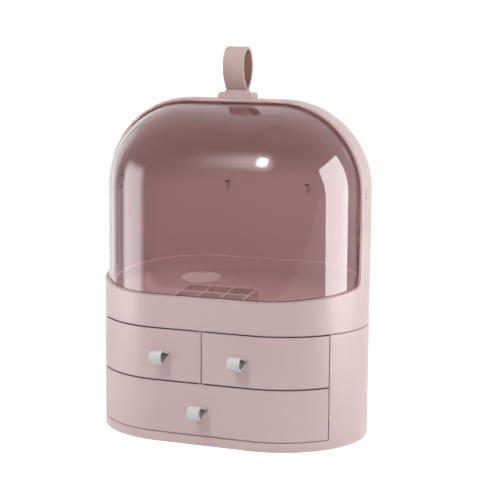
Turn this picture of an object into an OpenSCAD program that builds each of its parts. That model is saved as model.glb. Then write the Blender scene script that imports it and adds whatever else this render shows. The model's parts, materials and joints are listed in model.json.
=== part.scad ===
// A dustproof makeup organizer: a round-ended cabinet with three drawers, a
// sloping deck above it, and a clear cover that swings up and back under a
// fixed hood. Millimetres, +Z up. The origin is on the table under the middle
// of the case, and the drawers face -Y.

/* [Overall] */
// Width of the case, side to side
body_w = 290; // [270:1:330]
// Depth of the case; its ends are half circles of this width
body_d = 188; // [180:1:196]
// Height of the hood above the table
hood_h = 353; // [340:1:380]

/* [Cabinet] */
// Height of the seam between the cabinet and the collar
cabinet_h = 120; // [114:1:126]
// Height of the plinth under the bottom drawer
plinth_h = 9.8; // [9:0.1:12]
// Height of the gap between the two rows of drawers
row_z = 65; // [60:1:70]
// Thickness of the cabinet wall
case_wall = 2.6; // [2.2:0.1:3]
// Thickness of the base, shelf, divider and top panels
panel_t = 2.4; // [2:0.1:2.8]
// Where the drawer fronts end on the round ends, in degrees from the side
front_end_angle = 37; // [34:1:40]
// Diameter of an anti-slip foot
foot_d = 16; // [12:1:20]

/* [Collar and hood] */
// Thickness of the collar and hood wall
hood_wall = 2.6; // [2.2:0.1:2.8]
// Height of the collar at the very front
collar_h = 33; // [30:1:36]
// Slope of the rim and the deck, rising to the back, in degrees
rim_slope = 7.2; // [6:0.1:8]
// Distance of the hood's front edge in front of the pivots
hood_edge = 14; // [12:0.5:14]
// Radius where the rim turns up into the hood's edge
rim_corner_r = 10; // [8:0.5:12]

/* [Clear cover] */
// Running gap between the hood and the cover
cover_gap = 1.4; // [1.4:0.1:1.7]
// Thickness of the cover
cover_wall = 2.2; // [1.8:0.1:2.4]
// Distance of the cover's side edges in front of the pivots
cover_edge = 6; // [5:0.5:8]
// Distance that the cover's top edge reaches behind the pivots
cover_lap = 3; // [2:0.5:4]
// Radius of the cover's lower back corners
cover_corner_r = 14; // [10:1:18]
// Diameter of the pivot pins
pin_d = 5; // [4:0.5:6]
// Diameter of the pins' round caps
cap_d = 11; // [10:0.5:12]

/* [Deck] */
// Depth of the deck's rim below the collar's rim
deck_drop = 4.7; // [4:0.1:6]
// Depth of the deck's floor below its own rim
deck_depth = 14.3; // [12:0.1:15]
// Thickness of the deck tray
deck_t = 1.8; // [1.6:0.1:2]
// Width of the lipstick rack
rack_w = 77; // [70:1:82]
// Depth of the lipstick rack
rack_d = 49; // [46:1:49]
// Height of the lipstick rack
rack_h = 16; // [14:0.5:18]
// Thickness of the lipstick rack's walls
rack_t = 1.5; // [1.2:0.1:1.8]
// Width of the oval dish
dish_w = 45.5; // [42:0.5:50]
// Depth of the oval dish, front to back
dish_d = 36.5; // [34:0.5:40]
// Height of the oval dish
dish_h = 2.7; // [2.5:0.1:3.6]

/* [Drawers] */
// Thickness of a drawer front
front_t = 3.2; // [3:0.1:3.6]
// Thickness of a drawer's walls
bin_t = 1.8; // [1.6:0.1:2.2]
// Gap round each drawer front
seam = 0.8; // [0.6:0.1:1]
// Gap that a drawer slides on
slide_gap = 0.3; // [0.2:0.05:0.4]
// Travel of a drawer to its stop
drawer_travel = 110; // [95:1:112]

/* [Pulls] */
// Distance of the upper pulls from the middle of the case
pull_x = 43; // [38:0.5:43]
// Width of a pull's strap
pull_w = 13.5; // [12:0.5:15]
// Height of a pull's loop
pull_h = 13.6; // [12:0.1:16]
// Distance that a pull stands off the front
pull_reach = 21.5; // [20:0.5:26]
// Thickness of a pull's strap
pull_t = 1.6; // [1.2:0.1:1.8]

/* [Handle] */
// Width of the handle's strap
strap_w = 23; // [20:0.5:26]
// Thickness of the handle's strap
strap_t = 3; // [2.4:0.1:3.4]
// Depth of the handle's loop, front to back
loop_d = 28.4; // [27:0.2:31]
// Height of the handle's loop above the rim of its base
loop_h = 45; // [42:0.5:50]
// Radius of the handle's loop at the top
loop_top_r = 12.5; // [11.5:0.1:13]
// Width of the handle's base
base_w = 42; // [40:1:46]
// Depth of the handle's base
base_d = 16; // [14:1:18]
// Height of the handle's base above the hood
base_h = 6; // [5.5:0.5:8]
// Height of the rim round the strap above the base
neck_rise = 2.6; // [1:0.1:3]

/* [Hidden] */
$fn = 96;

rose = [0.78, 0.68, 0.67];
deep_rose = [0.66, 0.49, 0.49];
pale = [0.83, 0.81, 0.79];
steel = [0.62, 0.62, 0.64];
dark = [0.35, 0.3, 0.3];
clear = [0.9, 0.88, 0.9, 0.35];

case_r = body_d / 2;             // radius of the ends, and of the hood seen from the side
end_x = body_w / 2 - case_r;     // centre of each round end
pivot_z = hood_h - case_r;       // height of the pivots and of the hood's centre
case_in = case_r - case_wall;    // inside of the cabinet wall
hood_in = case_r - hood_wall;    // inside of the collar and hood
cover_r = hood_in - cover_gap;   // outside of the clear cover
cover_in = cover_r - cover_wall;
far = 2 * case_r;                // reaches past everything in front or behind
wide = body_w + far;             // reaches past both sides
root = 0.5;                      // how far a rib or ledge goes into the wall it grows from
fit = 0.15;                      // clearance of pieces that are fitted together
pin_fit = 0.05;                  // radial clearance of a pin or screw in its hole

// Panels
panel_r = case_r - front_t - 0.6;   // panels stop behind the drawer fronts
shelf_top = row_z + panel_t / 2;
top_under = cabinet_h - panel_t;
groove = 0.8;                       // depth of the grooves that hold the divider
divider_end = 4;                    // the divider stops short of the panels' edges
divider_d = 2 * (panel_r - divider_end);
ledge_w = 5;                        // ledges in the cabinet that carry the panels
ledge_t = 1.6;
ledge_end_angle = front_end_angle - 4;
shadow_d = 1.2;                     // depth of the shadow line under the collar
foot_t = 1.2;
foot_out = 20;                      // feet outwards from the round ends' centres
foot_back = 34;                     // feet in from the front and the back
foot_x = end_x + foot_out;
foot_y = case_r - foot_back;
guide_t = 1.6;                      // side guides of the drawers
guide_h = 2.6;
guide_d = 96;
rail_w = 8;                         // runners under the bottom drawer

// Screws and their bosses
screw_r = 1.5;
screw_head_r = 2.8;
screw_head_h = 1.2;
boss_r = 4.8;
boss_h = 10;
boss_ring_r = hood_in - boss_r + root;
boss_angle = 20;
boss_x = end_x + boss_ring_r * cos(boss_angle);
boss_y = boss_ring_r * sin(boss_angle);
base_seat = screw_head_h + 0.1;     // the base screws' heads are sunk in the base
bite = 7;                           // how far a screw goes into a boss

// Drawers
bin_half = end_x + (case_r - front_t) * cos(front_end_angle) - 5;
bin_side = panel_t / 2 + slide_gap; // inner side of an upper bin
bin_r = case_r - front_t - 0.1;     // outside of a bin's front wall
bin_back = sqrt(pow(case_in - 2, 2) - pow(bin_half - end_x, 2));
tab_w = 20;                         // stop tab on a bin's back wall
tab_h = 1.4;
stop_h = 1.7;                       // stops under the panels
stop_t = 2;
stop_gap = 0.3;
bin_drop = stop_h + 0.3;            // a bin's edge under the panel above
upper_bin_z = shelf_top + slide_gap;
upper_bin_h = top_under - bin_drop - upper_bin_z;
lower_bin_z = plinth_h + slide_gap;
lower_bin_h = shelf_top - panel_t - bin_drop - lower_bin_z;
tab_x = (bin_side + bin_half) / 2;
front_top_z = cabinet_h - seam;
front_mid_z = row_z + seam / 2;
front_low_z = plinth_h + seam;
end_gap = asin(seam / case_r);
spot = 0.3;                         // spot face under the head of a front's screw
front_bite = 1.9;
flat_screw_x = 14;
end_screw_angle = 21;

// Pulls
pull_foot_h = 8;                    // the pull's foot lies in a pocket behind the front
pull_foot_t = 1.4;
pocket_t = 1.6;
upper_pull_z = (front_mid_z + front_top_z) / 2;
lower_pull_z = (front_low_z + row_z - seam / 2) / 2;

// Deck
deck_r = hood_in - 4.2;             // outside of the tray's rim
deck_ledge_r = deck_r - 2.4;        // inside of the ledge that carries it
deck_wall_r = deck_ledge_r - fit;
deck_in = deck_wall_r - deck_t;
deck_floor = deck_drop + deck_depth;
deck_ledge_t = 2;
seat_r = deck_r + 0.2;              // inside of the shoulder round the tray's rim
cover_lift = 0.4;
rack_cols = 3;
rack_rows = 2;
rack_floor = 1.4;
rack_y = 0.5 + rack_d / 2 * cos(rim_slope) + rack_h * sin(rim_slope) - deck_in;
dish_x = -58;
dish_y = 41;
dish_wall = 1.6;
dish_floor = 1.2;
dish_pocket = 0.8;

// Pivots and stops
cap_t = 1.1;
cap_seat = body_w / 2 - cap_t - 0.1;
pivot_boss_r = 6;
pivot_boss_gap = 0.3;
lobe_r = 9;                         // round end of the cover about its pivot
clip_r = 4.5;
clip_t = 1.8;
clip_face = end_x + cover_in - 0.5;
pin_end = clip_face - clip_t - 0.8;
stop_in = 3.5;                      // the stops lie this far inside the round ends' centres
stop_x = end_x - stop_in;
rib_w = 3;
rib_d = 6;
rib_h = 8;
pad_t = 1.2;
pad_top = pivot_z - cover_lap - 0.3;

// Handle
neck_in = 5;                        // how far the strap's root goes into the base
neck_w = 1.2;                       // width of the raised rim round the strap
neck_z = hood_h + base_h + neck_rise;
root_z = hood_h + base_h - neck_in; // floor of the socket for the strap's root
base_side_h = 2;                    // the base's ends lean in above this
end_slant = 2.5;
handle_screw_x = 7;
handle_screw_r = 1.25;
handle_screw_z = hood_h - hood_wall + screw_head_h + 0.1;
handle_screw_l = base_h + 1;
rim_front_z = cabinet_h + collar_h;

// Height of the rim's plane at a distance y behind the middle
function rim_z(y) = rim_front_z + (y + case_r) * tan(rim_slope);
// Where a line from the neck of a drop-shaped loop touches its circle
function touch(r, reach, t) = atan2(t, r - reach) - acos(r / norm([reach - r, t]));

// --- shared outlines ---

module stadium(r) {
  for (s = [-1, 1]) translate([s * end_x, 0]) circle(r);
  square([2 * end_x, 2 * r], center = true);
}

module ring(outer, inner) difference() {
  stadium(outer);
  stadium(inner);
}

// The part of the plan between the round ends' centres and a radius of each
module front_sector(angle) {
  reach = [end_x + far * cos(angle), -far * sin(angle)];
  polygon([[end_x, 0], reach, [-reach[0], reach[1]], [-end_x, 0]]);
}

module rounded_rect(w, d, r) {
  for (sx = [-1, 1], sy = [-1, 1])
    translate([sx * (w / 2 - r), sy * (d / 2 - r)]) circle(r, $fn = 32);
  square([w - 2 * r, d], center = true);
  square([w, d - 2 * r], center = true);
}

// Carries an outline drawn in Y and Z across the case
module across(width) rotate([90, 0, 90]) linear_extrude(width, center = true) children();

// The upper half of a round-ended roller that lies across the case, as a shell
module dome_shell(outer, inner) rotate([90, 0, 0]) rotate([0, 90, 0]) rotate_extrude(angle = 180)
  intersection() {
    rotate(90) ring(outer, inner);
    translate([0, -body_w]) square([far, 2 * body_w]);
  }

module shell(outer, inner) {
  translate([0, 0, cabinet_h]) linear_extrude(pivot_z - cabinet_h) ring(outer, inner);
  translate([0, 0, pivot_z]) dome_shell(outer, inner);
}

// An upright outline cut off at two depths below the rim's plane
module sloped(top, bottom) intersection() {
  translate([0, 0, cabinet_h]) linear_extrude(case_r) children();
  across(wide) polygon([
    [-far, rim_z(-far) - top], [far, rim_z(far) - top],
    [far, rim_z(far) - bottom], [-far, rim_z(-far) - bottom]]);
}

// Side view of the space in front of an edge and above the rim
module open_side(edge, corner, lift) {
  mid = [-edge - corner, rim_z(-edge - corner) + lift + corner / cos(rim_slope)];
  touch_point = mid + corner * [sin(rim_slope), -cos(rim_slope)];
  translate(mid) circle(corner);
  polygon([touch_point, [-edge, mid[1]], [-edge, hood_h + far], [-far, hood_h + far],
    [-far, rim_z(-far) + lift]]);
}

module cover_side() {
  open_side(cover_edge, cover_corner_r, cover_lift);
  translate([0, pivot_z]) circle(lobe_r);
  translate([-lobe_r, pivot_z]) square([lobe_r + cover_lap, far]);
}

// Lays a piece on the sloping floor of the deck
module on_deck(x, y) translate([x, y, rim_z(y) - deck_floor]) rotate([rim_slope, 0, 0]) children();

module oval(w, d) scale([1, d / w]) circle(d = w);

// A strap bent into a drop, seen from its edge, with its two ends together at the origin
module drop_loop(r, reach, t) {
  a = touch(r, reach, t);
  c = reach - r;
  outer = r * [cos(a), sin(a)];
  inner = (r - t) * [cos(a), sin(a)];
  difference() {
    union() {
      translate([c, 0]) circle(r);
      polygon([[0, -t], [c + outer[0], -outer[1]], [c + outer[0], outer[1]], [0, t]]);
    }
    translate([c, 0]) circle(r - t);
    polygon([[c + (r - t) / cos(a), 0], [c + inner[0], -inner[1]], [c + inner[0], inner[1]]]);
  }
}

// A strap bent into a leaf with rounded sides, its two ends together at the origin
module leaf_loop(half, r, reach, t) {
  c = reach - r;
  a = half - t;
  b = half - r;
  k = 1 - b / a;
  mid = (c - sqrt(c * c - k * (c * c - a * b + half * half - r * r))) / k;
  side_r = (mid * mid + a * a) / (2 * a);
  difference() {
    leaf(c, r, mid, side_r, half, 0);
    leaf(c, r, mid, side_r, half, t);
  }
}

// Two side arcs and the round top that they run into, each drawn in by the same amount
module leaf(c, r, mid, side_r, half, shrink) {
  translate([c, 0]) circle(r - shrink);
  intersection() {
    translate([mid, side_r - half]) circle(side_r - shrink, $fn = 192);
    translate([mid, half - side_r]) circle(side_r - shrink, $fn = 192);
    translate([0, -half]) square([mid + (side_r - shrink) * (c - mid) / (side_r - r), 2 * half]);
  }
}

// The head's underside is at the origin and the shaft points up
module screw(length, r = screw_r) {
  translate([0, 0, -screw_head_h]) cylinder(r = screw_head_r, h = screw_head_h, $fn = 48);
  cylinder(r = r, h = length, $fn = 32);
}

module screw_hole(length, r = screw_r) {
  translate([0, 0, -far]) cylinder(r = screw_head_r + fit, h = far, $fn = 48);
  cylinder(r = r + pin_fit, h = length + fit, $fn = 32);
}

module four(x, y) for (sx = [-1, 1], sy = [-1, 1]) translate([sx * x, sy * y]) children();

module four_bores(z, h) four(boss_x, boss_y) translate([0, 0, z])
  cylinder(r = screw_r + pin_fit, h = h, $fn = 32);

module left() mirror([1, 0, 0]) children();

// --- cabinet ---

module base_pan() color(rose) difference() {
  union() {
    linear_extrude(panel_t) stadium(case_in - fit);
    for (x = [rail_w / 2 - bin_half, 0, bin_half - rail_w / 2])
      translate([x - rail_w / 2, -guide_d / 2, 0]) cube([rail_w, guide_d, plinth_h]);
    drawer_guides(0, plinth_h);
  }
  four(foot_x, foot_y) translate([0, 0, -1]) cylinder(d = foot_d + 2 * fit, h = foot_t + 1);
  four(boss_x, boss_y) translate([0, 0, base_seat]) screw_hole(panel_t);
}

// Two low ribs that keep a drawer straight
module drawer_guides(z, panel_z) for (s = [-1, 1])
  translate([s * (bin_half + slide_gap + guide_t / 2) - guide_t / 2, -guide_d / 2, z])
    cube([guide_t, guide_d, panel_z + guide_h - z]);

module cabinet_shell() color(rose) difference() {
  union() {
    difference() {
      linear_extrude(cabinet_h) ring(case_r, case_in);
      translate([0, 0, plinth_h]) linear_extrude(cabinet_h) front_sector(front_end_angle);
      translate([0, 0, front_top_z]) linear_extrude(cabinet_h) ring(case_r + 1, case_r - shadow_d);
    }
    for (z = [shelf_top - panel_t, top_under]) translate([0, 0, z - ledge_t])
      linear_extrude(ledge_t) difference() {
        union() {
          ring(case_in + root, case_in - ledge_w);
          if (z == top_under) four(boss_x, boss_y) circle(boss_r);
        }
        front_sector(ledge_end_angle);
      }
    four(boss_x, boss_y) translate([0, 0, panel_t]) cylinder(r = boss_r, h = boss_h);
    // ribs that keep the shelf in the middle
    for (turn = [0, 180]) rotate(turn) translate([end_x + panel_r + fit, -rib_w / 2, shelf_top - panel_t])
      cube([case_in - panel_r - fit + root, rib_w, top_under - ledge_t - shelf_top + panel_t]);
  }
  four_bores(panel_t - 1, bite + 1);
  four_bores(top_under - ledge_t - 1, ledge_t + 2);
}

module mid_shelf() color(rose) difference() {
  union() {
    translate([0, 0, shelf_top - panel_t]) linear_extrude(panel_t) stadium(panel_r);
    drawer_guides(shelf_top - groove, shelf_top);
    drawer_stops(shelf_top - panel_t);
  }
  translate([0, 0, shelf_top]) divider_groove();
}

// Ribs under a panel that catch the tabs of the drawers below
module drawer_stops(z) for (s = [-1, 1])
  translate([s * tab_x - tab_w / 2, bin_back - bin_t - drawer_travel - stop_gap - stop_t, z - stop_h])
    cube([tab_w, stop_t, stop_h + root]);

module divider_groove() cube([panel_t + 2 * fit, divider_d + 2 * fit, 2 * groove], center = true);

module upper_divider() color(rose) translate([-panel_t / 2, -divider_d / 2, shelf_top - groove])
  cube([panel_t, divider_d, top_under - shelf_top + 2 * groove]);

module top_panel() color(rose) difference() {
  union() {
    translate([0, 0, top_under]) linear_extrude(panel_t) stadium(panel_r);
    drawer_stops(top_under);
  }
  translate([0, 0, top_under]) divider_groove();
  four_bores(top_under - 1, panel_t + 2);
}

module anti_slip_feet() color(dark) four(foot_x, foot_y) cylinder(d = foot_d, h = foot_t);

module base_screws() color(steel) four(boss_x, boss_y) translate([0, 0, base_seat])
  screw(panel_t - base_seat + bite - fit);

module collar_screws() color(steel) four(boss_x, boss_y) translate([0, 0, top_under - ledge_t])
  screw(ledge_t + panel_t + bite - fit);

// --- collar, hood and deck ---

module collar_and_hood() color(rose) difference() {
  union() {
    difference() {
      shell(case_r, hood_in);
      across(wide) open_side(hood_edge, rim_corner_r, 0);
    }
    // shoulder round the tray's rim, which rises to carry the closed cover at the front
    intersection() {
      sloped(0, deck_drop + deck_t) ring(hood_in + root, seat_r);
      translate([-wide / 2, -far - hood_edge - rim_corner_r, 0]) cube([wide, far, hood_h]);
    }
    sloped(deck_drop, deck_drop + deck_t) ring(hood_in + root, seat_r);
    // ledge that carries the deck tray
    sloped(deck_drop + deck_t, deck_drop + deck_t + deck_ledge_t) ring(hood_in + root, deck_ledge_r);
    four(boss_x, boss_y) translate([0, 0, cabinet_h]) cylinder(r = boss_r, h = boss_h);
    for (s = [-1, 1]) translate([s * stop_x - rib_w / 2, hood_in - rib_d, pad_top - pad_t - rib_h])
      cube([rib_w, rib_d + root, rib_h]);
    for (turn = [0, 180]) rotate(turn) translate([end_x + cover_r + pivot_boss_gap, 0, pivot_z])
      rotate([0, 90, 0]) cylinder(r = pivot_boss_r, h = cover_gap - pivot_boss_gap + root);
  }
  for (turn = [0, 180]) rotate(turn) translate([0, 0, pivot_z]) rotate([0, 90, 0]) {
    cylinder(r = pin_d / 2 + pin_fit, h = wide, $fn = 64);
    translate([0, 0, cap_seat]) cylinder(r = cap_d / 2 + fit, h = wide);
  }
  four_bores(cabinet_h - 1, bite + 1);
  handle_screw_holes();
}

module deck_tray() color(deep_rose) difference() {
  union() {
    sloped(deck_drop, deck_drop + deck_t) stadium(deck_r);
    sloped(deck_drop, deck_floor + deck_t) stadium(deck_wall_r);
  }
  sloped(0, deck_floor) stadium(deck_in);
  on_deck(dish_x, dish_y) translate([0, 0, -dish_pocket]) linear_extrude(dish_h)
    oval(dish_w + 2 * fit, dish_d + 2 * fit);
}

module lipstick_rack() color(deep_rose) on_deck(0, rack_y) difference() {
  linear_extrude(rack_h) rounded_rect(rack_w, rack_d, 2);
  cell = [(rack_w - rack_t) / rack_cols - rack_t, (rack_d - rack_t) / rack_rows - rack_t];
  for (i = [0:rack_cols - 1], j = [0:rack_rows - 1])
    translate([rack_t - rack_w / 2 + i * (cell[0] + rack_t), rack_t - rack_d / 2 + j * (cell[1] + rack_t),
      rack_floor]) cube([cell[0], cell[1], rack_h]);
}

module oval_dish() color(pale) on_deck(dish_x, dish_y) translate([0, 0, -dish_pocket]) difference() {
  linear_extrude(dish_h) oval(dish_w, dish_d);
  translate([0, 0, dish_floor]) linear_extrude(dish_h)
    oval(dish_w - 2 * dish_wall, dish_d - 2 * dish_wall);
}

module stop_pads() color(dark) for (s = [-1, 1])
  translate([s * stop_x - rib_w / 2, hood_in - rib_d, pad_top - pad_t]) cube([rib_w, rib_d, pad_t]);

module pivot_pin_right() color(rose) translate([0, 0, pivot_z]) rotate([0, 90, 0]) {
  translate([0, 0, pin_end]) cylinder(d = pin_d, h = cap_seat - pin_end, $fn = 64);
  translate([0, 0, cap_seat]) cylinder(d = cap_d, h = cap_t);
}

module pivot_clip_right() color(pale) translate([clip_face - clip_t, 0, pivot_z]) rotate([0, 90, 0])
  linear_extrude(clip_t) difference() {
    circle(clip_r);
    circle(pin_d / 2 + pin_fit, $fn = 64);
  }

module pivot_pin_left() left() pivot_pin_right();
module pivot_clip_left() left() pivot_clip_right();

module clear_cover() color(clear) difference() {
  intersection() {
    shell(cover_r, cover_in);
    across(wide) cover_side();
  }
  translate([0, 0, pivot_z]) rotate([0, 90, 0])
    cylinder(r = pin_d / 2 + pin_fit, h = wide, center = true, $fn = 64);
}

// --- handle ---

module at_handle_screws() for (s = [-1, 1])
  translate([s * handle_screw_x, 0, handle_screw_z]) children();

module handle_screw_holes() at_handle_screws() screw_hole(handle_screw_l, handle_screw_r);

module handle_base() color(rose) difference() {
  union() {
    intersection() {
      translate([0, 0, hood_h - base_side_h]) linear_extrude(base_h + base_side_h)
        rounded_rect(base_w, base_d, 5);
      rotate([90, 0, 0]) linear_extrude(far, center = true) polygon([
        [-base_w / 2, 0], [-base_w / 2, hood_h + base_side_h], [end_slant - base_w / 2, hood_h + base_h],
        [base_w / 2 - end_slant, hood_h + base_h], [base_w / 2, hood_h + base_side_h], [base_w / 2, 0]]);
    }
    translate([0, 0, root_z]) linear_extrude(neck_z - root_z)
      rounded_rect(strap_w + 2 * neck_w, 2 * (strap_t + neck_w), neck_w);
  }
  translate([0, 0, pivot_z]) rotate([0, 90, 0])
    cylinder(r = case_r + 0.05, h = wide, center = true, $fn = 192);
  translate([-strap_w / 2 - fit, -strap_t - fit, root_z])
    cube([strap_w + 2 * fit, 2 * (strap_t + fit), far]);
  handle_screw_holes();
}

module handle_strap() color(rose) difference() {
  union() {
    translate([0, 0, neck_z]) across(strap_w) rotate(90) leaf_loop(loop_d / 2, loop_top_r, loop_h, strap_t);
    translate([-strap_w / 2, -strap_t, root_z + pin_fit])
      cube([strap_w, 2 * strap_t, neck_z - root_z - pin_fit]);
  }
  at_handle_screws() cylinder(r = handle_screw_r + pin_fit, h = handle_screw_l + fit, $fn = 32);
}

module handle_screws() color(steel) at_handle_screws() screw(handle_screw_l, handle_screw_r);

// --- drawers ---

module bin_plan(x0, x1, shrink) intersection() {
  stadium(bin_r - shrink);
  translate([x0 + shrink, -far]) square([x1 - x0 - 2 * shrink, far + bin_back - shrink]);
}

module bin(x0, x1, z, h, tabs) {
  translate([0, 0, z]) difference() {
    linear_extrude(h) bin_plan(x0, x1, 0);
    translate([0, 0, bin_t]) linear_extrude(h) bin_plan(x0, x1, bin_t);
  }
  for (x = tabs) translate([x - tab_w / 2, bin_back - bin_t, z + h - 1]) cube([tab_w, bin_t, 1 + tab_h]);
}

// Turns a screw to face the drawer front, either on the flat or on a round end
module at_front(x, turn, z) translate([x, 0, z]) rotate(turn) translate([0, -bin_r, 0])
  rotate([90, 0, 0]) translate([0, 0, spot - bin_t]) children();

module front_screw() screw(bin_t - spot + front_bite);
module front_screw_hole() screw_hole(bin_t - spot + front_bite);

module upper_screws() {
  at_front(flat_screw_x, 0, upper_pull_z) children();
  at_front(end_x, end_screw_angle, upper_pull_z) children();
}

module lower_screws() for (s = [-1, 1]) {
  at_front(2 * s * flat_screw_x, 0, lower_pull_z) children();
  at_front(s * end_x, s * end_screw_angle, lower_pull_z) children();
}

module front(z0, z1) translate([0, 0, z0]) linear_extrude(z1 - z0) intersection() {
  ring(case_r, case_r - front_t);
  front_sector(front_end_angle + end_gap);
  children();
}

// The slot that a pull goes through, and the pocket for its foot
module pull_hole(x, z) translate([x, -case_r, z]) {
  cube([pull_w + 2 * fit, 4 * front_t, 2 * (pull_t + fit)], center = true);
  translate([-pull_w / 2 - fit, front_t - pocket_t, -pull_foot_h / 2 - fit])
    cube([pull_w + 2 * fit, front_t, pull_foot_h + 2 * fit]);
}

module pull(x, z) color(pale) translate([x, -case_r, z]) {
  across(pull_w) rotate(180) drop_loop(pull_h / 2, pull_reach, pull_t);
  translate([-pull_w / 2, 0, -pull_t]) cube([pull_w, front_t - pocket_t + pull_foot_t, 2 * pull_t]);
  translate([-pull_w / 2, front_t - pocket_t + 0.05, -pull_foot_h / 2])
    cube([pull_w, pull_foot_t, pull_foot_h]);
}

module bin_right() color(deep_rose) difference() {
  bin(bin_side, bin_half, upper_bin_z, upper_bin_h, [tab_x]);
  upper_screws() front_screw_hole();
}

module front_right() color(rose) difference() {
  front(front_mid_z, front_top_z) translate([seam / 2, -far]) square([wide, far]);
  pull_hole(pull_x, upper_pull_z);
  upper_screws() front_screw_hole();
}

module pull_right() pull(pull_x, upper_pull_z);
module front_screws_right() color(steel) upper_screws() front_screw();

module bin_left() left() bin_right();
module front_left() left() front_right();
module pull_left() pull(-pull_x, upper_pull_z);
module front_screws_left() left() front_screws_right();

module bin_bottom() color(deep_rose) difference() {
  bin(-bin_half, bin_half, lower_bin_z, lower_bin_h, [-tab_x, tab_x]);
  lower_screws() front_screw_hole();
}

module front_bottom() color(rose) difference() {
  front(front_low_z, row_z - seam / 2) square([wide, 2 * far], center = true);
  pull_hole(0, lower_pull_z);
  lower_screws() front_screw_hole();
}

module pull_bottom() pull(0, lower_pull_z);
module front_screws_bottom() color(steel) lower_screws() front_screw();

base_pan();
cabinet_shell();
mid_shelf();
upper_divider();
top_panel();
anti_slip_feet();
base_screws();
collar_screws();
collar_and_hood();
deck_tray();
lipstick_rack();
oval_dish();
stop_pads();
pivot_pin_left();
pivot_pin_right();
pivot_clip_left();
pivot_clip_right();
clear_cover();
handle_base();
handle_strap();
handle_screws();
bin_left();
front_left();
pull_left();
front_screws_left();
bin_right();
front_right();
pull_right();
front_screws_right();
bin_bottom();
front_bottom();
pull_bottom();
front_screws_bottom();
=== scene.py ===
import json
import math

import bmesh
import bpy
from mathutils import Matrix, Vector


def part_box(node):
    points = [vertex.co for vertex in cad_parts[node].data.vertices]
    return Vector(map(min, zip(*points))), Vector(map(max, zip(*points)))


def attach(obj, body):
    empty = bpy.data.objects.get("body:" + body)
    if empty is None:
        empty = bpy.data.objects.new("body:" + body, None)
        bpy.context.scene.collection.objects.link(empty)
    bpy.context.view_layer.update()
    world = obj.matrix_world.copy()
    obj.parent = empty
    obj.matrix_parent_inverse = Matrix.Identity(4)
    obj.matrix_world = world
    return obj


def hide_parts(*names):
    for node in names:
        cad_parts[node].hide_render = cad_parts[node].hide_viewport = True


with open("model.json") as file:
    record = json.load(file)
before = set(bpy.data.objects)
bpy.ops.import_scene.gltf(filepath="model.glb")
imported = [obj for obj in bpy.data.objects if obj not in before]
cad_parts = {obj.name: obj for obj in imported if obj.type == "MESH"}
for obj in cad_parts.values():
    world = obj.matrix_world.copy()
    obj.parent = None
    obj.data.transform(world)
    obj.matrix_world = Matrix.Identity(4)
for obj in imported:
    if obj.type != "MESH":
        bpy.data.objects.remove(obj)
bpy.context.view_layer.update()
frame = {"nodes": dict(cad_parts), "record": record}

# --- the view ---
# A long lens at the height of the case's upper part, turned a little to the
# case's right-hand end, as the photograph has it. The frame is 500 x 500.
photo_px = 500
focal_px = 1505.9
camera_yaw = math.radians(21.446)
camera_pitch = math.radians(8.343)
camera_roll = math.radians(0.528)
camera_place = Vector((0.5957, -1.4770, 0.4248))

lens = bpy.data.cameras.new("lens")
lens.sensor_width = 36
lens.lens = lens.sensor_width * focal_px / photo_px
lens.clip_end = 20
camera = bpy.data.objects.new("camera", lens)
looking = Matrix.Rotation(camera_yaw, 4, "Z") @ Matrix.Rotation(math.pi / 2 - camera_pitch, 4, "X")
camera.matrix_world = Matrix.Translation(camera_place) @ looking @ Matrix.Rotation(camera_roll, 4, "Z")
bpy.context.collection.objects.link(camera)
bpy.context.scene.camera = camera
bpy.context.scene.view_settings.view_transform = "Standard"


# --- the studio ---
# A white sweep under and behind the case in an evenly lit white room. A crisp
# softbox at the right, a soft screen at the left, a narrow board behind each
# and a shaded lamp high in front show in the clear cover; the rest only light.
def new_material(name, colour=(0.8, 0.8, 0.8), roughness=0.5):
    """A material with a Principled shader, and that shader, its nodes and its links."""
    material = bpy.data.materials.new(name)
    material.use_nodes = True
    nodes, links = material.node_tree.nodes, material.node_tree.links
    shader = nodes["Principled BSDF"]
    shader.inputs["Base Color"].default_value = (*colour, 1)
    shader.inputs["Roughness"].default_value = roughness
    material.diffuse_color = (*colour, 1)
    return material, shader, nodes, links


def mesh_piece(name, shape, material):
    """Turns a bmesh into a smooth object at the origin, with its faces turned outwards."""
    bmesh.ops.recalc_face_normals(shape, faces=shape.faces)
    mesh = bpy.data.meshes.new(name)
    shape.to_mesh(mesh)
    shape.free()
    mesh.shade_smooth()
    mesh.materials.append(material)
    piece = bpy.data.objects.new(name, mesh)
    bpy.context.collection.objects.link(piece)
    return piece


def seen_white(nodes):
    """1 for the camera and for what gloss and clear plastic show of a background, else 0."""
    links = nodes.id_data.links
    rays = nodes.new("ShaderNodeLightPath")
    first = nodes.new("ShaderNodeMath")
    first.operation = "MAXIMUM"
    both = nodes.new("ShaderNodeMath")
    both.operation = "MAXIMUM"
    links.new(rays.outputs["Is Camera Ray"], first.inputs[0])
    links.new(rays.outputs["Is Transmission Ray"], first.inputs[1])
    links.new(first.outputs[0], both.inputs[0])
    links.new(rays.outputs["Is Glossy Ray"], both.inputs[1])
    return both.outputs[0]


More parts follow.
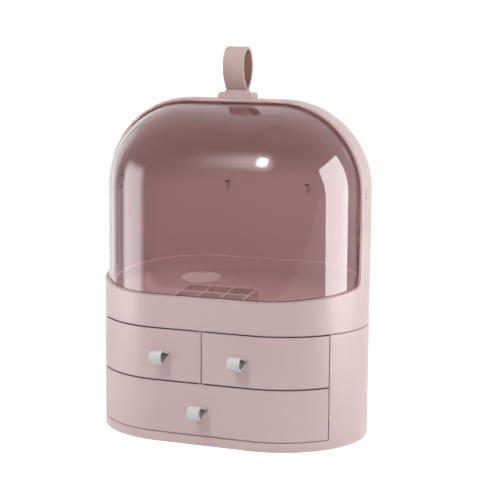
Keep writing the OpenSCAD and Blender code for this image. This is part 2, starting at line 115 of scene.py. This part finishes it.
sweep_reach = 6.0
sweep_front = 0.95
sweep_back = 2.5
sweep_radius = 1.2
shape = bmesh.new()
floor_edge = bmesh.ops.create_vert(shape, co=(-sweep_reach, -sweep_front, 0))["vert"] + \
    bmesh.ops.create_vert(shape, co=(-sweep_reach, sweep_back, 0))["vert"]
shape.edges.new(floor_edge)
bmesh.ops.spin(shape, geom=[floor_edge[1]], cent=(-sweep_reach, sweep_back, sweep_radius), axis=(1, 0, 0),
               angle=math.pi / 2, steps=12)
shape.verts.ensure_lookup_table()
top_of_curve = max(shape.verts, key=lambda v: v.co.z)
wall_top = bmesh.ops.create_vert(shape, co=(-sweep_reach, sweep_back + sweep_radius, sweep_reach))["vert"][0]
shape.edges.new((top_of_curve, wall_top))
swept = bmesh.ops.extrude_edge_only(shape, edges=shape.edges[:])
bmesh.ops.translate(shape, vec=(2 * sweep_reach, 0, 0),
                    verts=[v for v in swept["geom"] if isinstance(v, bmesh.types.BMVert)])
paper_glow = 1.22        # makes the lit paper pure white to the camera
shadow_share = 0.2       # how much of the paper's own shading the camera sees
sweep_paper, paper_shader, nodes, links = new_material("sweep_paper", (0.86, 0.86, 0.86), 0.9)
glow = nodes.new("ShaderNodeEmission")
glow.inputs["Strength"].default_value = paper_glow
shown = nodes.new("ShaderNodeMath")
shown.operation = "MULTIPLY"
shown.inputs[1].default_value = 1 - shadow_share
blend_in = nodes.new("ShaderNodeMixShader")
links.new(seen_white(nodes), shown.inputs[0])
links.new(shown.outputs[0], blend_in.inputs["Fac"])
links.new(paper_shader.outputs[0], blend_in.inputs[1])
links.new(glow.outputs[0], blend_in.inputs[2])
links.new(blend_in.outputs[0], nodes["Material Output"].inputs["Surface"])
sweep = mesh_piece("sweep", shape, sweep_paper)

room_light = 0.16
room_gloss = 0.2         # the dim front of the room, as gloss shows it
dim_until = -0.2         # gloss that looks this far to the back still sees the dim front,
bright_from = 0.4        # and from here on the bright back of the room
room = bpy.data.worlds.new("room")
bpy.context.scene.world = room
room.use_nodes = True
nodes, links = room.node_tree.nodes, room.node_tree.links
walls = nodes["Background"]
walls.inputs["Color"].default_value = (1, 1, 1, 1)
rays = nodes.new("ShaderNodeLightPath")
direct = nodes.new("ShaderNodeMath")
direct.operation = "MAXIMUM"
dimmed = nodes.new("ShaderNodeMapRange")
dimmed.inputs["To Min"].default_value = room_light
way = nodes.new("ShaderNodeTexCoord")
level = nodes.new("ShaderNodeSeparateXYZ")
to_the_back = nodes.new("ShaderNodeMapRange")
to_the_back.inputs["From Min"].default_value = dim_until
to_the_back.inputs["From Max"].default_value = bright_from
to_the_back.inputs["To Min"].default_value = room_gloss
links.new(way.outputs["Generated"], level.inputs[0])
links.new(level.outputs["Y"], to_the_back.inputs["Value"])
links.new(to_the_back.outputs["Result"], dimmed.inputs["To Max"])
brightness = nodes.new("ShaderNodeMapRange")
brightness.inputs["To Max"].default_value = 1.0
links.new(rays.outputs["Is Glossy Ray"], dimmed.inputs["Value"])
links.new(dimmed.outputs["Result"], brightness.inputs["To Min"])
links.new(rays.outputs["Is Camera Ray"], direct.inputs[0])
links.new(rays.outputs["Is Transmission Ray"], direct.inputs[1])
links.new(direct.outputs[0], brightness.inputs["Value"])
links.new(brightness.outputs["Result"], walls.inputs["Strength"])


def soft_edge():
    """A mask that is 1 in the middle of a lamp's face and fades out towards its edges."""
    group = bpy.data.node_groups.new("soft_edge", "ShaderNodeTree")
    for name, value in (("Half Width", 0.3), ("Half Height", 0.3), ("Softness", 0.1)):
        group.interface.new_socket(name, in_out="INPUT", socket_type="NodeSocketFloat").default_value = value
    group.interface.new_socket("Mask", in_out="OUTPUT", socket_type="NodeSocketColor")
    nodes, links = group.nodes, group.links
    given = nodes.new("NodeGroupInput")
    result = nodes.new("NodeGroupOutput")
    place = nodes.new("ShaderNodeTexCoord")
    split = nodes.new("ShaderNodeSeparateXYZ")
    links.new(place.outputs["Object"], split.inputs[0])
    product = nodes.new("ShaderNodeMath")
    product.operation = "MULTIPLY"
    for slot, (axis, half) in enumerate((("X", "Half Width"), ("Y", "Half Height"))):
        away = nodes.new("ShaderNodeMath")
        away.operation = "ABSOLUTE"
        links.new(split.outputs[axis], away.inputs[0])
        start = nodes.new("ShaderNodeMath")
        start.operation = "SUBTRACT"
        links.new(given.outputs[half], start.inputs[0])
        links.new(given.outputs["Softness"], start.inputs[1])
        fade = nodes.new("ShaderNodeMapRange")
        fade.interpolation_type = "SMOOTHSTEP"
        fade.inputs["To Min"].default_value = 1
        fade.inputs["To Max"].default_value = 0
        links.new(away.outputs[0], fade.inputs["Value"])
        links.new(start.outputs[0], fade.inputs["From Min"])
        links.new(given.outputs[half], fade.inputs["From Max"])
        links.new(fade.outputs["Result"], product.inputs[slot])
    links.new(product.outputs[0], result.inputs["Mask"])
    return group


lamp_mask = soft_edge()
case_middle = Vector((0, 0, 0.24))


def lamp(name, bearing, height, reach, size, strength, in_gloss, softness, top_shift=0, top_drop=0,
         veiled=False):
    """A glowing face that looks at the case. Bearings go from the front towards the right. The
    top edge may be shifted sideways, and its left corner may lie lower. A veiled face lets what
    is behind it show through its fading edges."""
    turn = math.radians(bearing)
    place = Vector((reach * math.sin(turn), -reach * math.cos(turn), height))
    shape = bmesh.new()
    bmesh.ops.create_grid(shape, x_segments=1, y_segments=1, size=0.5)
    bmesh.ops.scale(shape, vec=(*size, 1), verts=shape.verts)
    for corner in shape.verts:
        if corner.co.y > 0:
            corner.co.x += top_shift
        if corner.co.y > 0 > corner.co.x:
            corner.co.y -= top_drop
    material, shader, nodes, links = new_material(name + "_face")
    nodes.remove(shader)
    mask = nodes.new("ShaderNodeGroup")
    mask.node_tree = lamp_mask
    mask.inputs["Half Width"].default_value = size[0] / 2 + abs(top_shift)
    mask.inputs["Half Height"].default_value = size[1] / 2
    mask.inputs["Softness"].default_value = softness
    glow = nodes.new("ShaderNodeEmission")
    rays = nodes.new("ShaderNodeLightPath")
    power = nodes.new("ShaderNodeMapRange")
    power.inputs["To Min"].default_value = strength
    power.inputs["To Max"].default_value = in_gloss
    links.new(rays.outputs["Is Glossy Ray"], power.inputs["Value"])
    links.new(power.outputs["Result"], glow.inputs["Strength"])
    surface = nodes["Material Output"].inputs["Surface"]
    if veiled:
        veil = nodes.new("ShaderNodeMixShader")
        links.new(mask.outputs["Mask"], veil.inputs["Fac"])
        links.new(nodes.new("ShaderNodeBsdfTransparent").outputs[0], veil.inputs[1])
        links.new(glow.outputs[0], veil.inputs[2])
        links.new(veil.outputs[0], surface)
    else:
        links.new(mask.outputs["Mask"], glow.inputs["Color"])
        links.new(glow.outputs[0], surface)
    face = mesh_piece(name, shape, material)
    looking = (place - case_middle).to_track_quat("Z", "Y").to_matrix().to_4x4()
    face.matrix_world = Matrix.Translation(place) @ looking
    face.visible_camera = False
    face.visible_transmission = False
    face.visible_glossy = in_gloss > 0


lamp("softbox_right", bearing=96.4, height=0.38, reach=0.855, size=(0.56, 0.77), strength=1.3, in_gloss=12,
     softness=0.01, top_shift=-0.075, top_drop=0.095)
lamp("side_light", bearing=76, height=0.50, reach=1.20, size=(1.10, 1.10), strength=3.0, in_gloss=0,
     softness=0.40)
lamp("screen_left", bearing=-64.3, height=0.18, reach=0.85, size=(0.68, 0.90), strength=1.9, in_gloss=7.3,
     softness=0.20)
lamp("board_left", bearing=-108.5, height=0.30, reach=0.87, size=(0.32, 0.90), strength=1.5, in_gloss=1.9,
     softness=0.03)
lamp("board_right", bearing=135, height=0.30, reach=0.88, size=(0.20, 0.90), strength=8.0, in_gloss=2.6,
     softness=0.03)
lamp("shaded_lamp", bearing=-9, height=1.21, reach=1.20, size=(0.46, 0.42), strength=44, in_gloss=60,
     softness=0.20, veiled=True)
lamp("lamp_glow", bearing=-9.8, height=1.22, reach=1.22, size=(1.00, 0.82), strength=0.5, in_gloss=9,
     softness=0.40, veiled=True)
lamp("low_fill", bearing=5, height=0.16, reach=1.30, size=(1.40, 0.30), strength=0.6, in_gloss=0,
     softness=0.10)
lamp("ceiling_light", bearing=-10, height=1.70, reach=0.35, size=(0.80, 0.80), strength=6.5, in_gloss=0.5,
     softness=0.20)

# --- the cabinet ---
# All the rose parts are injection moulded in one dyed plastic with a fine
# eroded grain, satin on the outside, and with slightly rounded edges.
def moulded_grain():
    """The grain, faint clouding and uneven sheen of a moulded plastic, from Object coordinates."""
    group = bpy.data.node_groups.new("moulded_grain", "ShaderNodeTree")
    for name, kind, value in (("Colour", "NodeSocketColor", (0.8, 0.7, 0.7, 1)),
                              ("Clouding", "NodeSocketFloat", 0.02), ("Sheen", "NodeSocketFloat", 0.5),
                              ("Unevenness", "NodeSocketFloat", 0.05),
                              ("Grain Scale", "NodeSocketFloat", 1400.0)):
        socket = group.interface.new_socket(name, in_out="INPUT", socket_type=kind)
        socket.default_value = value
    group.interface.new_socket("Base Color", in_out="OUTPUT", socket_type="NodeSocketColor")
    group.interface.new_socket("Roughness", in_out="OUTPUT", socket_type="NodeSocketFloat")
    group.interface.new_socket("Height", in_out="OUTPUT", socket_type="NodeSocketFloat")
    nodes, links = group.nodes, group.links
    given = nodes.new("NodeGroupInput")
    result = nodes.new("NodeGroupOutput")
    place = nodes.new("ShaderNodeTexCoord")

    clouds = nodes.new("ShaderNodeTexNoise")
    clouds.inputs["Scale"].default_value = 14
    clouds.inputs["Detail"].default_value = 3
    links.new(place.outputs["Object"], clouds.inputs["Vector"])
    spread = nodes.new("ShaderNodeMapRange")
    spread.inputs["From Min"].default_value = 0.3
    spread.inputs["From Max"].default_value = 0.7
    spread.inputs["To Min"].default_value = -1
    spread.inputs["To Max"].default_value = 1
    links.new(clouds.outputs["Fac"], spread.inputs["Value"])
    amount = nodes.new("ShaderNodeMath")
    amount.operation = "MULTIPLY_ADD"
    amount.inputs[2].default_value = 1
    links.new(spread.outputs["Result"], amount.inputs[0])
    links.new(given.outputs["Clouding"], amount.inputs[1])
    tint = nodes.new("ShaderNodeVectorMath")
    tint.operation = "SCALE"
    links.new(given.outputs["Colour"], tint.inputs[0])
    links.new(amount.outputs[0], tint.inputs["Scale"])
    links.new(tint.outputs[0], result.inputs["Base Color"])

    patches = nodes.new("ShaderNodeTexNoise")
    patches.inputs["Scale"].default_value = 45
    patches.inputs["Detail"].default_value = 4
    links.new(place.outputs["Object"], patches.inputs["Vector"])
    centred = nodes.new("ShaderNodeMath")
    centred.operation = "SUBTRACT"
    centred.inputs[1].default_value = 0.5
    links.new(patches.outputs["Fac"], centred.inputs[0])
    sheen = nodes.new("ShaderNodeMath")
    sheen.operation = "MULTIPLY_ADD"
    links.new(centred.outputs[0], sheen.inputs[0])
    links.new(given.outputs["Unevenness"], sheen.inputs[1])
    links.new(given.outputs["Sheen"], sheen.inputs[2])
    links.new(sheen.outputs[0], result.inputs["Roughness"])

    grain = nodes.new("ShaderNodeTexNoise")
    grain.inputs["Detail"].default_value = 2
    links.new(place.outputs["Object"], grain.inputs["Vector"])
    links.new(given.outputs["Grain Scale"], grain.inputs["Scale"])
    links.new(grain.outputs["Fac"], result.inputs["Height"])
    return group


grain_group = moulded_grain()


def moulded(name, colour, sheen=0.5, clouding=0.015, unevenness=0.12, grain_scale=1400, grain_depth=0.00003,
            specular=0.5):
    material, shader, nodes, links = new_material(name, colour, sheen)
    shader.inputs["Specular IOR Level"].default_value = specular
    surface = nodes.new("ShaderNodeGroup")
    surface.node_tree = grain_group
    surface.inputs["Colour"].default_value = (*colour, 1)
    surface.inputs["Clouding"].default_value = clouding
    surface.inputs["Sheen"].default_value = sheen
    surface.inputs["Unevenness"].default_value = unevenness
    surface.inputs["Grain Scale"].default_value = grain_scale
    bump = nodes.new("ShaderNodeBump")
    bump.inputs["Strength"].default_value = 0.6
    bump.inputs["Distance"].default_value = grain_depth
    links.new(surface.outputs["Base Color"], shader.inputs["Base Color"])
    links.new(surface.outputs["Roughness"], shader.inputs["Roughness"])
    links.new(surface.outputs["Height"], bump.inputs["Height"])
    links.new(bump.outputs["Normal"], shader.inputs["Normal"])
    return material


def finish_nodes(material, *names):
    for name in names:
        mesh = frame["nodes"][name].data
        mesh.materials.clear()
        mesh.materials.append(material)


body_of = {node: body for body, held in frame["record"]["behaviour"]["bodies"].items() for node in held}


def clean_copy(node):
    """A CAD node's mesh with its triangles joined up and its flat faces made whole."""
    shape = bmesh.new()
    shape.from_mesh(frame["nodes"][node].data)
    bmesh.ops.remove_doubles(shape, verts=shape.verts, dist=2e-6)
    bmesh.ops.dissolve_limit(shape, angle_limit=math.radians(0.2), verts=shape.verts, edges=shape.edges)
    return shape


def rounded(name, node, material, edge=0.0005, segments=2, shape=None, second=None, where=None):
    """Stands for a CAD node, with its hard edges rounded as moulded edges are, and a second
    material, which here always carries painted shade, on the faces that where() picks."""
    shape = shape or clean_copy(node)
    if second:
        shape.normal_update()
        for face in shape.faces:
            face.material_index = int(where(face.normal, face.calc_center_median()))
    piece = mesh_piece(name, shape, material)
    if second:
        piece.data.materials.append(second)
    piece.data.set_sharp_from_angle(angle=math.radians(35))
    rounding = piece.modifiers.new("rounding", "BEVEL")
    rounding.width = edge
    rounding.segments = segments
    rounding.limit_method = "ANGLE"
    rounding.angle_limit = math.radians(40)
    rounding.harden_normals = True
    rounding.use_clamp_overlap = False
    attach(piece, body_of[node])
    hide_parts(node)
    return piece


case_r = 0.094                       # radius of the case's round ends
end_x = 0.145 - case_r               # and where their centres lie


def outwards(place):
    """The level direction away from the case's middle line, and the distance from it."""
    away = Vector((math.copysign(max(abs(place.x) - end_x, 0), place.x), place.y, 0))
    return away.normalized(), away.length


rose_plastic = moulded("rose_plastic", (0.63, 0.478, 0.467), sheen=0.42, specular=0.8)
# A near-black rose: painted shade on the edges of the shelf, divider and ceiling behind the fronts.
painted_shade_rose = moulded("painted_shade_rose", (0.16, 0.10, 0.095), sheen=0.8, specular=0.2)
behind_fronts_r = 0.085              # edges farther out than this get painted shade, for the shade behind the fronts
finish_nodes(rose_plastic, "base_pan")
rounded("cabinet_wall", "cabinet_shell", rose_plastic)
for name, node in (("shelf", "mid_shelf"), ("divider", "upper_divider"), ("ceiling", "top_panel")):
    rounded(name, node, rose_plastic, edge=0.0002, second=painted_shade_rose,
            where=lambda normal, place: abs(normal.z) < 0.5 and outwards(place)[1] > behind_fronts_r)

soft_rubber = moulded("soft_rubber", (0.05, 0.035, 0.035), sheen=0.7)
finish_nodes(soft_rubber, "anti_slip_feet", "stop_pads")

zinc = moulded("zinc", (0.6, 0.6, 0.61), sheen=0.35, clouding=0.05)
zinc.node_tree.nodes["Principled BSDF"].inputs["Metallic"].default_value = 1
finish_nodes(zinc, "base_screws", "collar_screws", "handle_screws", "front_screws_left", "front_screws_right",
             "front_screws_bottom")

# --- the collar and hood ---
# One large moulding: the oval collar under the deck and the domed hood that
# the cover swings into. The pins' caps sit flush in its sides.
rounded("hood_moulding", "collar_and_hood", rose_plastic, edge=0.0008, segments=3)
finish_nodes(rose_plastic, "pivot_pin_left", "pivot_pin_right", "pivot_clip_left", "pivot_clip_right")


# --- the deck ---
# A loose tray with a rounded foot to its wall, the six-cell lipstick rack
# that stands in it and the small pale dish in its pocket. Painted highlights
# make the tray's rim and the rack's top edges paler.
def near_plane():
    """A mask that is 1 close to a plane that rises to the back, from Object coordinates."""
    group = bpy.data.node_groups.new("near_plane", "ShaderNodeTree")
    for name, value in (("Height", 0.16), ("Rise", 0.126), ("Reach", 0.0003)):
        group.interface.new_socket(name, in_out="INPUT", socket_type="NodeSocketFloat").default_value = value
    group.interface.new_socket("Mask", in_out="OUTPUT", socket_type="NodeSocketFloat")
    nodes, links = group.nodes, group.links
    given = nodes.new("NodeGroupInput")
    result = nodes.new("NodeGroupOutput")
    place = nodes.new("ShaderNodeTexCoord")
    split = nodes.new("ShaderNodeSeparateXYZ")
    links.new(place.outputs["Object"], split.inputs[0])
    plane = nodes.new("ShaderNodeMath")
    plane.operation = "MULTIPLY_ADD"
    links.new(split.outputs["Y"], plane.inputs[0])
    links.new(given.outputs["Rise"], plane.inputs[1])
    links.new(given.outputs["Height"], plane.inputs[2])
    off = nodes.new("ShaderNodeMath")
    off.operation = "COMPARE"
    links.new(split.outputs["Z"], off.inputs[0])
    links.new(plane.outputs[0], off.inputs[1])
    links.new(given.outputs["Reach"], off.inputs[2])
    links.new(off.outputs[0], result.inputs["Mask"])
    return group


plane_mask = near_plane()
rim_rise = math.tan(math.radians(7.2))
rim_height = 0.153 + case_r * rim_rise       # height of the collar's rim at the middle of the case


# Paints a band of colour along a plane that rises to the back: painted highlights on the tray's rim and the
# rack's top edges, painted shade along the cover's foot.
def paint_light_and_shade_near_plane(material, height, reach, colour):
    nodes, links = material.node_tree.nodes, material.node_tree.links
    shader = nodes["Principled BSDF"]
    mask = nodes.new("ShaderNodeGroup")
    mask.node_tree = plane_mask
    mask.inputs["Height"].default_value = height
    mask.inputs["Rise"].default_value = rim_rise
    mask.inputs["Reach"].default_value = reach
    blend = nodes.new("ShaderNodeMix")
    blend.data_type = "RGBA"
    blend.inputs["B"].default_value = (*colour, 1)
    links.new(mask.outputs["Mask"], blend.inputs["Factor"])
    links.new(shader.inputs["Base Color"].links[0].from_socket, blend.inputs["A"])
    links.new(blend.outputs["Result"], shader.inputs["Base Color"])


deck_drop = 0.0047
deck_floor = 0.019
tray_wall_r = 0.08285
cove = 0.0035
tray_rose = moulded("tray_rose", (0.63, 0.485, 0.475), sheen=0.4)
# Painted highlight: a paler band along the top of the tray's rim.
paint_light_and_shade_near_plane(tray_rose, rim_height - deck_drop, 0.0004, (0.88, 0.72, 0.71))
shape = clean_copy("deck_tray")
foot = [edge for edge in shape.edges
        if all(abs(v.co.z - rim_height - v.co.y * rim_rise + deck_floor) < 1e-4
               and outwards(v.co)[1] > tray_wall_r - 1e-4 for v in edge.verts)]
bmesh.ops.bevel(shape, geom=foot, offset=cove, segments=5, profile=0.5, affect="EDGES", material=-1)
rounded("tray", "deck_tray", tray_rose, edge=0.0004, shape=shape)

rack_h = 0.016
rack_rose = moulded("rack_rose", (0.56, 0.405, 0.40), sheen=0.4)
# Painted highlight: a paler band along the rack's top edges.
paint_light_and_shade_near_plane(rack_rose, rim_height - deck_floor + rack_h / math.cos(math.atan(rim_rise)), 0.0009,
                (0.90, 0.74, 0.73))
rounded("rack", "lipstick_rack", rack_rose, edge=0.0003)
dish_plastic = moulded("dish_plastic", (0.97, 0.96, 0.95), sheen=0.3)
rounded("dish", "oval_dish", dish_plastic, edge=0.0006, segments=3)

# --- the handle ---
# A block screwed to the top of the hood and a strap bent into a loop, whose
# two ends are pressed together into the block. Painted shade darkens its inside.
rounded("handle_block", "handle_base", rose_plastic, edge=0.0005)
strap_rose = moulded("strap_rose", (0.54, 0.40, 0.38), sheen=0.55)
# Painted shade: a darker brown rose on the strap's inside, within the loop.
strap_painted_shade = moulded("strap_painted_shade", (0.50, 0.31, 0.25), sheen=0.6)
loop_middle = Vector((0, 0, 0.386))
pinch_top = 0.362                    # below this the two ends of the strap lie together
rounded("handle_loop", "handle_strap", strap_rose, edge=0.0006, segments=3, second=strap_painted_shade,
        where=lambda normal, place: abs(normal.x) < 0.5 and place.z > pinch_top
        and normal.dot(loop_middle - place) > 0)

# --- the drawers ---
# Each has a thin-walled bin, a thick curved front and a looped pull pushed
# through a slot in it. The fronts' side faces and rounded edges and the pulls'
# insides carry painted shade, for the shade in the narrow gaps.
finish_nodes(rose_plastic, "bin_left", "bin_right", "bin_bottom")
pale_plastic = moulded("pale_plastic", (0.68, 0.665, 0.65), sheen=0.35)
# Painted shade on the downward faces inside the pulls' loops.
pull_painted_shade = moulded("pull_painted_shade", (0.05, 0.042, 0.04), sheen=0.6)
# Painted shade on the fronts' side faces and rounded edges, for the shade in the gaps between them.
front_edge_painted_shade = moulded("front_edge_painted_shade", (0.14, 0.072, 0.062), sheen=0.8, specular=0.2)

# Painted light: these edges between the upper fronts and at the foot get a lighter painted shade.
lit_edge = (0.60, 0.455, 0.445)
lit_gap = 0.003                      # how far from the middle of the case
lit_foot = 0.0125                    # and below which height
nodes, links = front_edge_painted_shade.node_tree.nodes, front_edge_painted_shade.node_tree.links
edge_shader = nodes["Principled BSDF"]
place = nodes.new("ShaderNodeTexCoord")
split = nodes.new("ShaderNodeSeparateXYZ")
at_middle = nodes.new("ShaderNodeMath")
at_middle.operation = "COMPARE"
at_middle.inputs[1].default_value = 0
at_middle.inputs[2].default_value = lit_gap
at_foot = nodes.new("ShaderNodeMath")
at_foot.operation = "LESS_THAN"
at_foot.inputs[1].default_value = lit_foot
at_either = nodes.new("ShaderNodeMath")
at_either.operation = "MAXIMUM"
lighten = nodes.new("ShaderNodeMix")
lighten.data_type = "RGBA"
lighten.inputs["B"].default_value = (*lit_edge, 1)
links.new(place.outputs["Object"], split.inputs[0])
links.new(split.outputs["X"], at_middle.inputs[0])
links.new(split.outputs["Z"], at_foot.inputs[0])
links.new(at_middle.outputs[0], at_either.inputs[0])
links.new(at_foot.outputs[0], at_either.inputs[1])
links.new(at_either.outputs[0], lighten.inputs["Factor"])
links.new(edge_shader.inputs["Base Color"].links[0].from_socket, lighten.inputs["A"])
links.new(lighten.outputs["Result"], edge_shader.inputs["Base Color"])

pull_ring_r = 0.0068
for side, x in (("left", -0.043), ("right", 0.043), ("bottom", 0.0)):
    face = rounded("drawer_face_" + side, "front_" + side, rose_plastic, edge=0.0004, segments=2,
                   second=front_edge_painted_shade, where=lambda normal, place: abs(normal.dot(outwards(place)[0])) < 0.5)
    # The fronts' rounded edges get the painted shade as well.
    face.modifiers["rounding"].material = 1
    low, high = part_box("pull_" + side)
    ring_middle = Vector((x, low[1] + pull_ring_r, (low[2] + high[2]) / 2))
    rounded("loop_" + side, "pull_" + side, pale_plastic, edge=0.0004, second=pull_painted_shade,
            where=lambda normal, place: normal.z < -0.2 and place.z > ring_middle.z and place.y < -case_r
            and normal.dot(ring_middle - place) > 0)

# --- the clear cover ---
# One clear moulding with a faint smoky tint, 2.2 mm thick, that swings on
# the two pins. Light falls through it, so it casts almost no shadow.
clear_tint = (0.86, 0.715, 0.72)
edge_tint = (0.50, 0.485, 0.49)       # seen along the wall, through more of the plastic
clear_plastic, clear_shader, nodes, links = new_material("clear_plastic", clear_tint, 0.02)
clear_shader.inputs["Transmission Weight"].default_value = 1
clear_shader.inputs["IOR"].default_value = 1.49
polish = nodes.new("ShaderNodeGroup")
polish.node_tree = grain_group
polish.inputs["Sheen"].default_value = 0.02
polish.inputs["Unevenness"].default_value = 0.02
links.new(polish.outputs["Roughness"], clear_shader.inputs["Roughness"])
slant = nodes.new("ShaderNodeLayerWeight")
slant.inputs["Blend"].default_value = 0.35
tint = nodes.new("ShaderNodeMix")
tint.data_type = "RGBA"
tint.inputs["A"].default_value = (*clear_tint, 1)
tint.inputs["B"].default_value = (*edge_tint, 1)
links.new(slant.outputs["Facing"], tint.inputs["Factor"])
links.new(tint.outputs["Result"], clear_shader.inputs["Base Color"])
# Painted shade: a dark band along the cover's foot, for the shadow line over the collar's rim.
paint_light_and_shade_near_plane(clear_plastic, rim_height, 0.0012, (0.42, 0.27, 0.26))
rays = nodes.new("ShaderNodeLightPath")
straight = nodes.new("ShaderNodeMath")
straight.operation = "MAXIMUM"
through = nodes.new("ShaderNodeBsdfTransparent")
through.inputs["Color"].default_value = (0.93, 0.82, 0.825, 1)
either = nodes.new("ShaderNodeMixShader")
links.new(rays.outputs["Is Shadow Ray"], straight.inputs[0])
links.new(rays.outputs["Is Diffuse Ray"], straight.inputs[1])
links.new(straight.outputs[0], either.inputs["Fac"])
links.new(clear_shader.outputs[0], either.inputs[1])
links.new(through.outputs[0], either.inputs[2])
links.new(either.outputs[0], nodes["Material Output"].inputs["Surface"])
rounded("cover", "clear_cover", clear_plastic, edge=0.0005)
